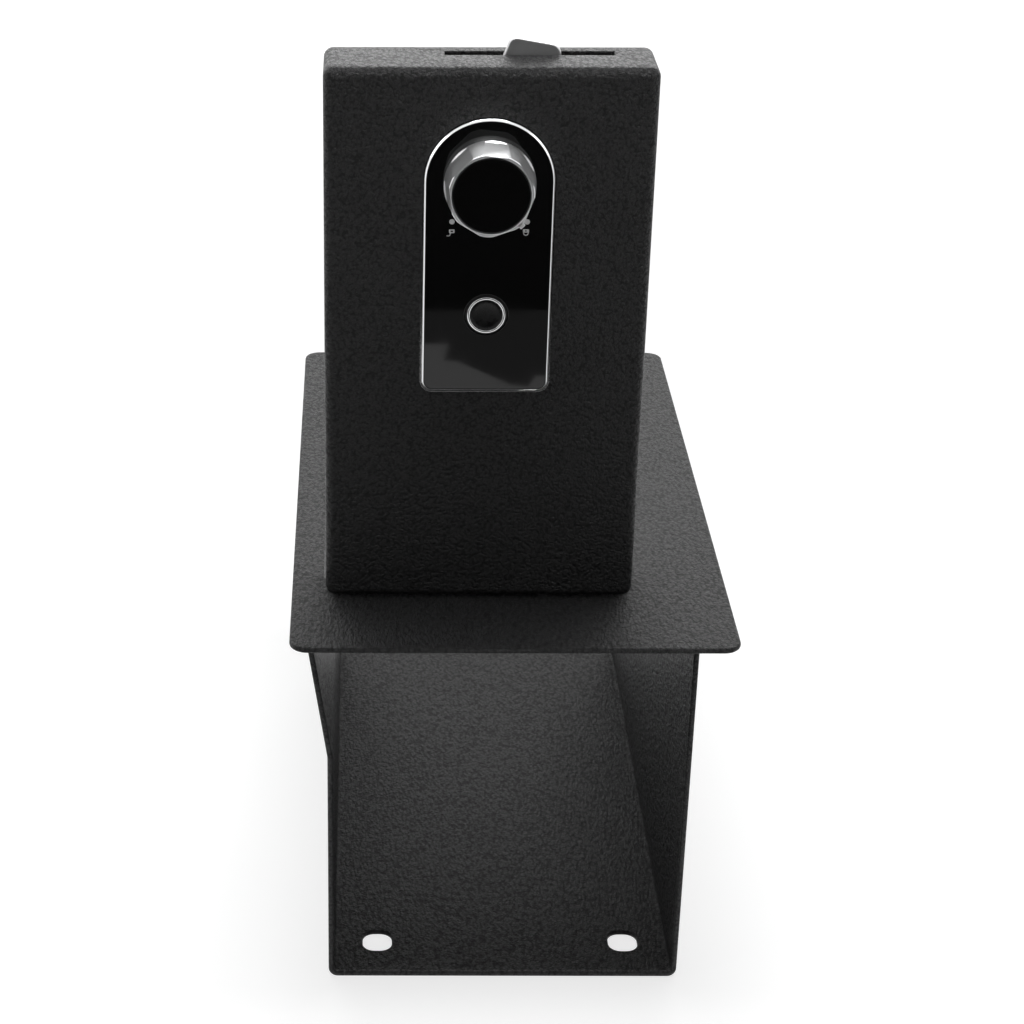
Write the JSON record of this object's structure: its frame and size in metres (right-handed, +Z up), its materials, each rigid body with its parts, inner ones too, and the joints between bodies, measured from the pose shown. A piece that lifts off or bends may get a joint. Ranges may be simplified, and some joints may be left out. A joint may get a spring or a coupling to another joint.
{
  "type": "console safe",
  "caption": "Folded-steel console safe: flanged box open at the front, with a hinged pan lid that carries a fingerprint lock, a turning knob and a latch arm.",
  "frame": {"origin": "middle of the overall box at its underside, which is the underside of the box's floor", "axes": "+Z up, front (open mouth, lock panel) towards -Y, +X to the right seen from the front, +Y along the box's length to the rear"},
  "size_m": [0.2, 0.336, 0.4455],
  "materials": {
    "powder_coat": "wrinkled black powder coat",
    "zinc_steel": "zinc plated",
    "latch_steel": "satin plated steel",
    "chrome": "polished chrome",
    "brass": "machined",
    "gloss_black": "high gloss black",
    "sensor_window": "smooth black sensor glass",
    "black_plastic": "fine moulded texture",
    "circuit_board": "solder mask",
    "solenoid_coil": "enamelled copper winding",
    "cell_wrap": "plain printed sleeve",
    "lead_rubber": "smooth insulation"
  },
  "bodies": {
    "root": {"top_flange": "powder_coat", "body_channel": "powder_coat", "hinge_leaf_fixed": "zinc_steel", "hinge_pin": "zinc_steel", "lid_rest_tab_left": "powder_coat", "lid_rest_tab_right": "powder_coat"},
    "lid": {"lid_shell": "powder_coat", "hinge_leaf_moving": "zinc_steel", "liner_plate": "powder_coat", "liner_post_1": "zinc_steel", "liner_post_2": "zinc_steel", "liner_post_3": "zinc_steel", "liner_post_4": "zinc_steel", "liner_screw_1": "zinc_steel", "liner_screw_2": "zinc_steel", "liner_screw_3": "zinc_steel", "liner_screw_4": "zinc_steel", "lock_frame": "chrome", "lock_panel": "gloss_black", "panel_nut_1": "zinc_steel", "panel_nut_2": "zinc_steel", "panel_nut_3": "zinc_steel", "panel_nut_4": "zinc_steel", "spindle_bush": "brass", "sensor_ring": "chrome", "sensor_window": "sensor_window", "sensor_module": "black_plastic", "lock_housing": "black_plastic", "circuit_board": "circuit_board", "lock_solenoid": "solenoid_coil", "battery_tray": "black_plastic", "battery_1": "cell_wrap", "battery_2": "cell_wrap", "battery_3": "cell_wrap", "battery_4": "cell_wrap", "contact_strip_lower": "zinc_steel", "contact_strip_upper": "zinc_steel", "battery_lead": "lead_rubber"},
    "knob": {"knob_barrel": "chrome", "key_cylinder": "brass", "spindle": "zinc_steel", "blocking_disc": "zinc_steel", "latch_arm": "latch_steel", "cam_washer": "zinc_steel", "cam_nut": "zinc_steel"},
    "cap": {"knob_cap": "gloss_black"},
    "key": {"key_plug": "brass"},
    "block_pin": {"blocking_pin": "zinc_steel"},
    "cover": {"battery_cover": "black_plastic"}
  },
  "joints": [
    {"name": "lid_hinge", "type": "hinge", "parent": "root", "child": "lid", "pos_m": [-0.0145, -0.0997, 0.1884], "axis": [-1, 0, 0], "range_deg": [0, 90]},
    {"name": "knob_turn", "type": "hinge", "parent": "lid", "child": "knob", "pos_m": [-0.0145, -0.1212, 0.39], "axis": [0, 1, 0], "range_deg": [0, 90]},
    {"name": "cap_pull", "type": "slide", "parent": "knob", "child": "cap", "axis": [0, -1, 0], "range_m": [0, 0.006]},
    {"name": "key_turn", "type": "hinge", "parent": "knob", "child": "key", "pos_m": [-0.0145, -0.1212, 0.39], "axis": [0, 1, 0], "range_deg": [0, 90]},
    {"name": "pin_block", "type": "slide", "parent": "lid", "child": "block_pin", "axis": [0, 0, 1], "range_m": [0, 0.0033]},
    {"name": "cover_pull", "type": "slide", "parent": "lid", "child": "cover", "axis": [0, 1, 0], "range_m": [0, 0.006]}
  ]
}
